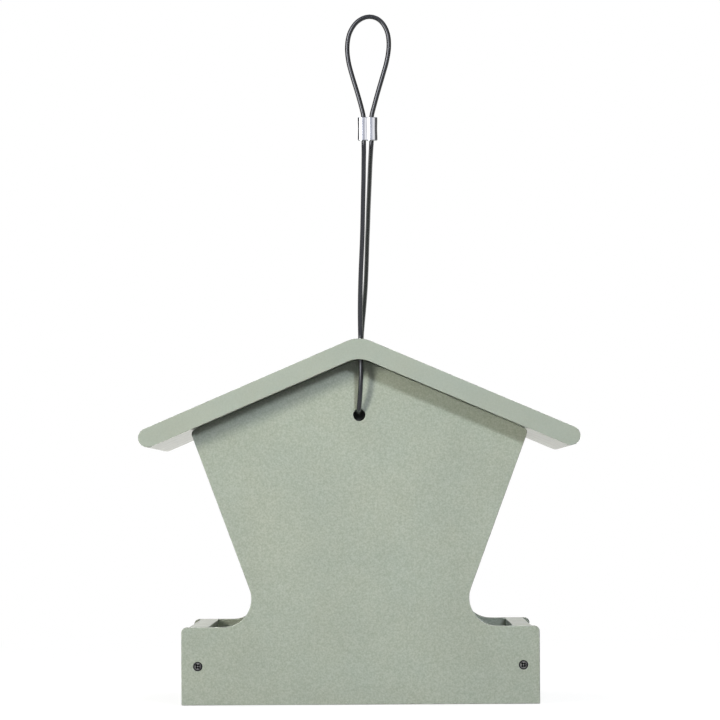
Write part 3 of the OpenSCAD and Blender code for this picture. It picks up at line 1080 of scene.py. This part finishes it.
# %% [markdown]
# The fill ramp runs from front to back, and the mirrored one round the feeder. It holds a strong
# soft box at the front left, which draws the highlight along the cable and the ferrule, a weaker
# one at the front right, and the backdrop, which is creamier than the front. Steeply upwards, all
# of it gives way to a plain ceiling. The camera, and glass that it looks through, see plain white.

# %% Room
CREAM = (0.99, 1.0, 0.93)
LILAC = (0.93, 0.96, 1.06)
CEILING = (0.42, 0.43, 0.46, 1)
CEILING_LOW, CEILING_HIGH = 0.35, 0.75

world = bpy.data.worlds.new("studio")
bpy.context.scene.world = world
world.use_nodes = True
tree = world.node_tree
tree.nodes.clear()
path = add_node(tree, "LightPath").outputs
toward = add_node(tree, "SeparateXYZ", {0: add_node(tree, "TexCoord").outputs["Generated"]}).outputs
from_front = spread(tree, toward["Y"], -1.0, 1.0)
fill = room_ramp(tree, from_front, [(0.0, 0.06), (0.5, 0.1), (0.62, 0.6), (1.0, 1.0)])
bearing = number(tree, "ARCTAN2", toward["X"], times(tree, toward["Y"], -1.0))
mirrored = room_ramp(tree, spread(tree, bearing, -math.pi, math.pi), degrees_round([
    (-180, 0.84, CREAM), (-178, 0.87, CREAM), (-152, 0.89, CREAM), (-135, 0.12),
    (BOX_FADE_LEFT, 0.12), (BOX_LEFT, SOFT_BOX), (BOX_RIGHT, SOFT_BOX),
    (BOX_FADE_RIGHT, 0.62, LILAC), (8, 0.56, LILAC), (16, 1.0), (36, 1.0), (46, 0.1), (135, 0.1),
    (152, 0.76, CREAM), (178, 0.77, CREAM), (180, 0.84, CREAM),
]))
steep = spread(tree, toward["Z"], CEILING_LOW, CEILING_HIGH)
mirrored = blend_colours(tree, steep, mirrored, CEILING)
lit = blend_colours(tree, path["Is Glossy Ray"], fill, mirrored)
straight_at = number(tree, "MAXIMUM", path["Is Camera Ray"], path["Is Transmission Ray"])
colour = blend_colours(tree, straight_at, lit, grey(1.0))
background = add_node(tree, "Background", {"Color": colour, "Strength": 1.0})
add_node(tree, "OutputWorld", {"Surface": background.outputs[0]})
print("room:", world.name)

# %% [markdown]
# Two soft lamps stand low in front of the feeder: a warm one to the left and a smaller cool one to
# the right, which throw the two shadows under the roof. Their beams are narrow, so that they light
# the feeder and not the whole floor. A broad lamp overhead lights the roof. Gloss doesn't see the
# lamps themselves, because the room above already holds what it mirrors, and small strong lamps
# would leave ragged highlights on the thin cable.

# %% Lights
AIM = Vector((-0.02, -0.127, 0.185))
NARROW = math.radians(42)
WIDE = math.pi


def soft_light(name, azimuth, elevation, distance, width, height, power, tint, beam):
    """An oval lamp that faces the feeder. Azimuth 0 is in front, and + is to the right."""
    data = bpy.data.lights.new(name, "AREA")
    data.shape = "ELLIPSE"
    data.size, data.size_y = width, height
    data.energy = power
    data.color = tint
    data.spread = beam
    lamp = bpy.data.objects.new(name, data)
    bpy.context.scene.collection.objects.link(lamp)
    a, e = math.radians(azimuth), math.radians(elevation)
    back = Vector((math.sin(a) * math.cos(e), -math.cos(a) * math.cos(e), math.sin(e)))
    lamp.location = AIM + back * distance
    lamp.rotation_mode = "QUATERNION"
    lamp.rotation_quaternion = (-back).to_track_quat("-Z", "Y")
    lamp.visible_camera = False
    lamp.visible_glossy = False


soft_light("left_light", azimuth=-33.5, elevation=11.6, distance=1.7, width=0.4, height=0.48,
           power=0.945, tint=(1.0, 1.0, 0.85), beam=NARROW)
soft_light("right_light", azimuth=16.4, elevation=17.6, distance=2.6, width=0.34, height=0.34,
           power=1.69, tint=(0.87, 0.94, 1.0), beam=NARROW)
soft_light("overhead_light", azimuth=0, elevation=86, distance=1.9, width=2.4, height=2.4,
           power=10.0, tint=(1.0, 1.0, 1.0), beam=WIDE)

# %% [markdown]
# ## Colour
#
# The picture uses the plain Standard view, so a colour comes out about as it is written.

# %% Colour view
bpy.context.scene.view_settings.view_transform = "Standard"
